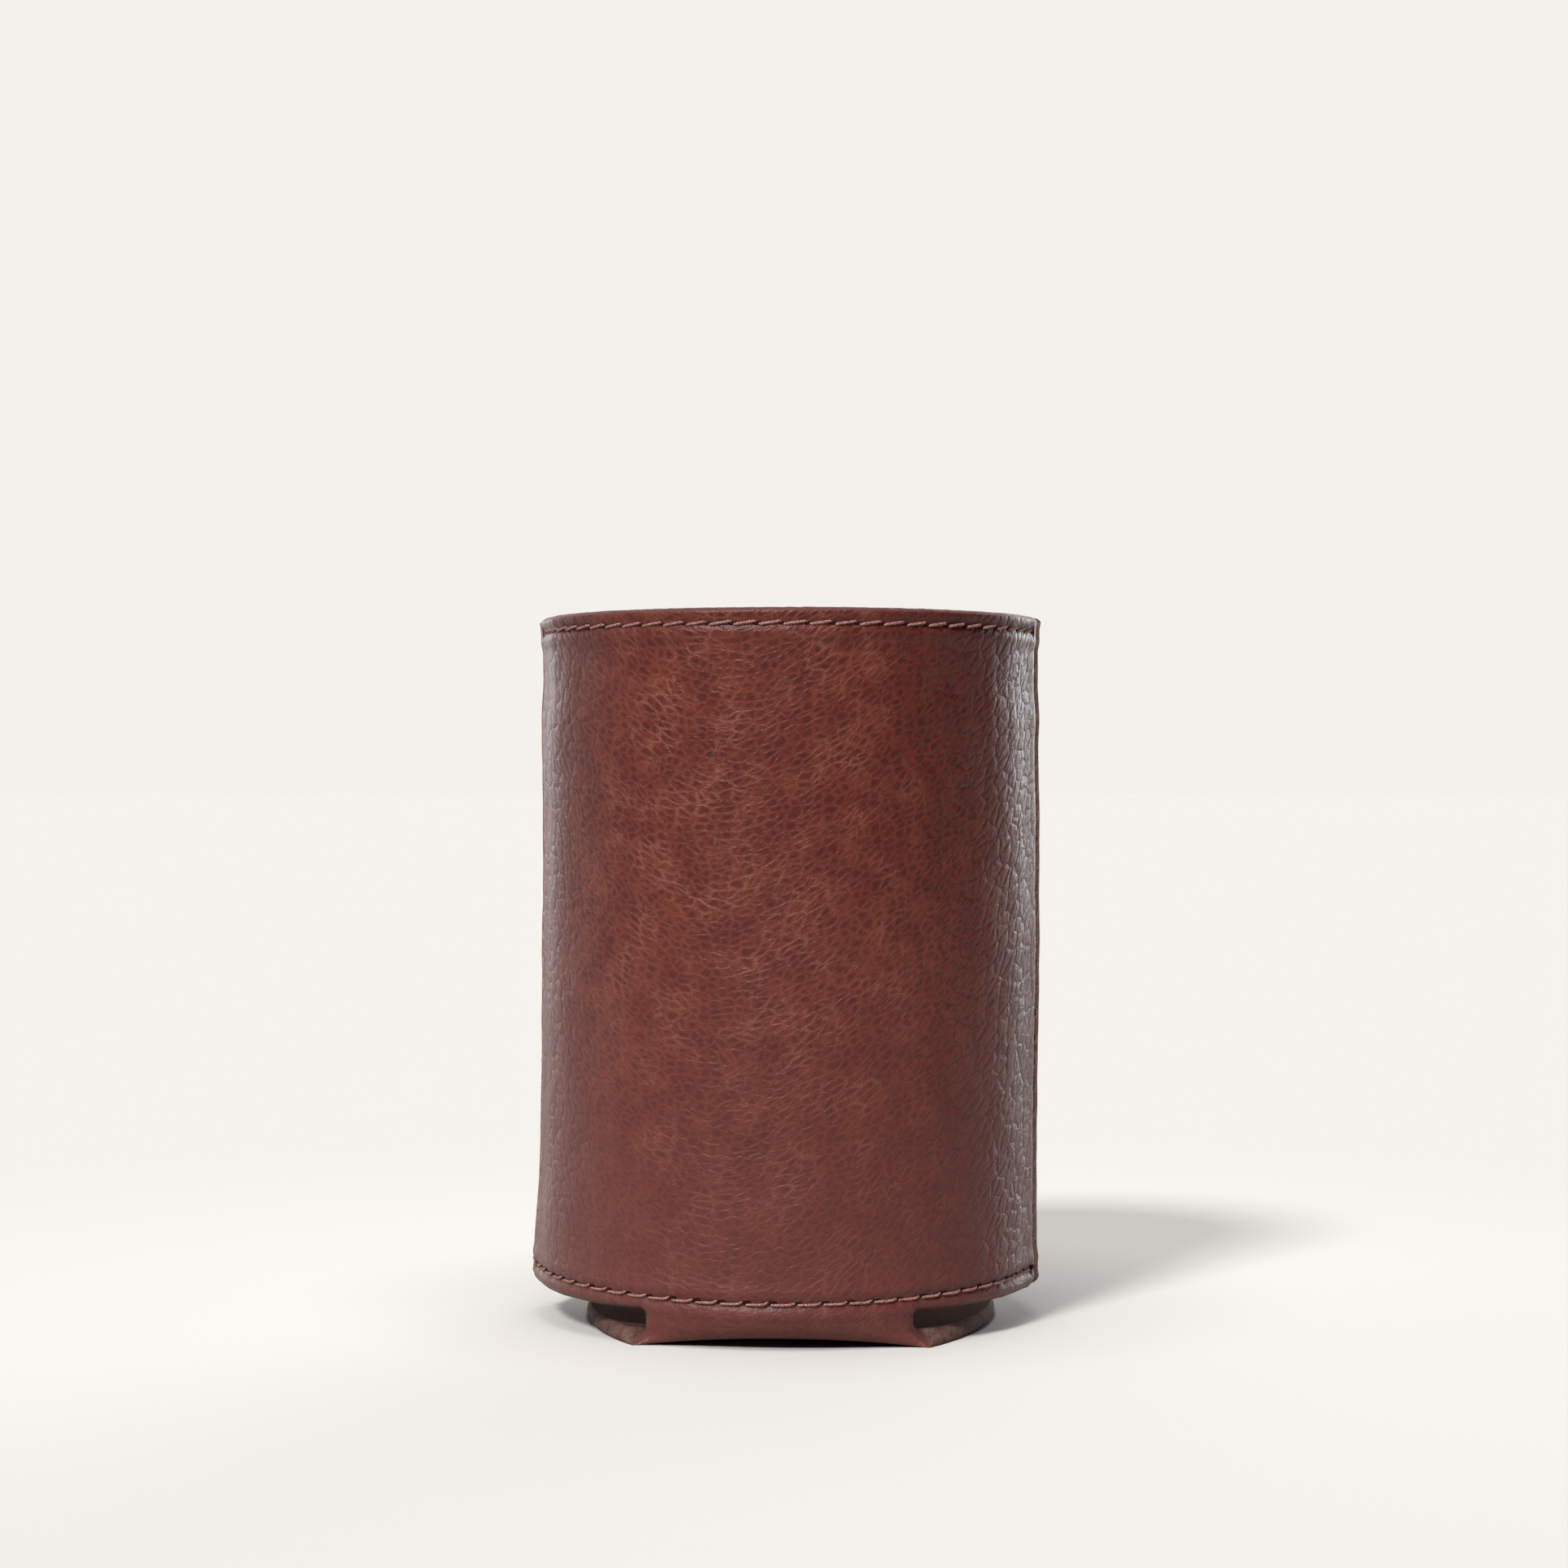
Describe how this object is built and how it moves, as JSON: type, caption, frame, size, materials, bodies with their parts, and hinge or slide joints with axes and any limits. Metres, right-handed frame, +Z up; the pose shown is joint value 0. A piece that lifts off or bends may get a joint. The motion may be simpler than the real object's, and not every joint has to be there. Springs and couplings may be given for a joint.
{
  "type": "can cooler sleeve",
  "caption": "Leather sleeve for a drinks can: one folded hide sewn up both sides, open at the top, with a base held by a narrow neck at front and back.",
  "frame": {"origin": "on the floor under the middle of the sleeve, with the base's grain side resting on it", "axes": "+Z up towards the open top, -Y out of the front panel, +X and -X through the two side seams"},
  "size_m": [0.0764, 0.0732, 0.1037],
  "materials": {
    "leather": "pebbled full-grain reddish-brown leather, satin, with raw brown suede on the inner side and cut edges",
    "thread": "twisted dusty mauve-brown sewing thread"
  },
  "bodies": {
    "root": {"leather_body": "leather", "front_top_thread": "thread", "back_top_thread": "thread", "front_bottom_thread": "thread", "back_bottom_thread": "thread", "left_seam_thread": "thread", "right_seam_thread": "thread"}
  },
  "joints": []
}
